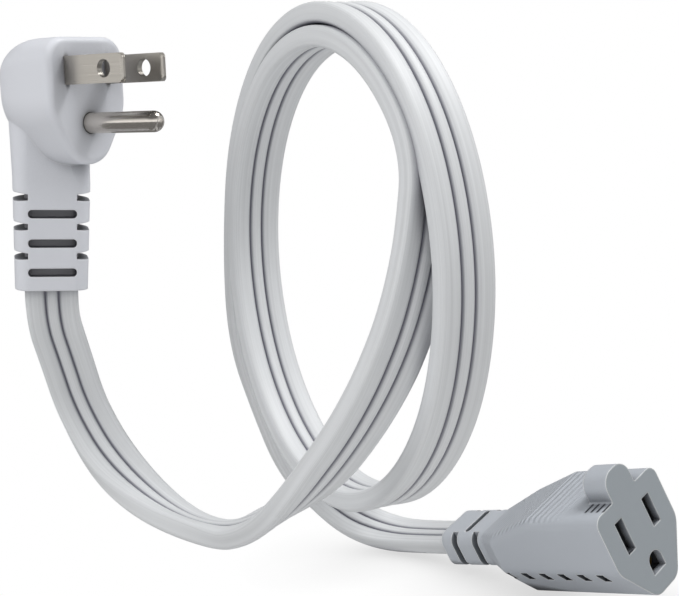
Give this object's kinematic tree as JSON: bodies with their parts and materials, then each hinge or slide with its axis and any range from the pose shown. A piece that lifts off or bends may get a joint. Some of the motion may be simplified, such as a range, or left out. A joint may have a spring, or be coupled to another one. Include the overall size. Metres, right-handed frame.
{
  "type": "right_angle_flat_plug_extension_cord",
  "caption": "Short flat extension cord with a low profile right-angle grounded plug, a looped three-conductor ribbon cord and a single grounded outlet connector, light grey vinyl",
  "frame": {"origin": "on the plug's contact face, midway between the two flat blades", "axes": "blades point to -Y, the two blades stand side by side along X, the ground pin is on the -Z side and the cord leaves the plug to -Z"},
  "size_m": [0.1473, 0.1256, 0.1637],
  "materials": {
    "plug_vinyl": "moulded soft vinyl, fine grain",
    "connector_vinyl": "moulded soft vinyl, fine grain",
    "cord_vinyl": "extruded vinyl, satin",
    "nylon": "moulded nylon",
    "nickel_plate": "nickel plated brass",
    "contact_brass": "stamped spring brass",
    "wire_black": "extruded vinyl",
    "wire_white": "extruded vinyl",
    "wire_green": "extruded vinyl"
  },
  "bodies": {
    "root": {"plug_overmould": "plug_vinyl", "plug_bridge": "nylon", "hot_blade": "nickel_plate", "neutral_blade": "nickel_plate", "ground_pin": "nickel_plate", "plug_hot_wire": "wire_black", "plug_neutral_wire": "wire_white", "plug_ground_wire": "wire_green", "cord_plug_end": "cord_vinyl", "cord_plug_tail": "cord_vinyl", "cord_loop": "cord_vinyl", "cord_connector_tail": "cord_vinyl", "cord_connector_end": "cord_vinyl", "connector_overmould": "connector_vinyl", "contact_carrier": "nylon", "carrier_cover": "nylon", "hot_contact": "contact_brass", "neutral_contact": "contact_brass", "ground_contact": "contact_brass", "connector_hot_wire": "wire_black", "connector_neutral_wire": "wire_white", "connector_ground_wire": "wire_green"}
  },
  "joints": []
}
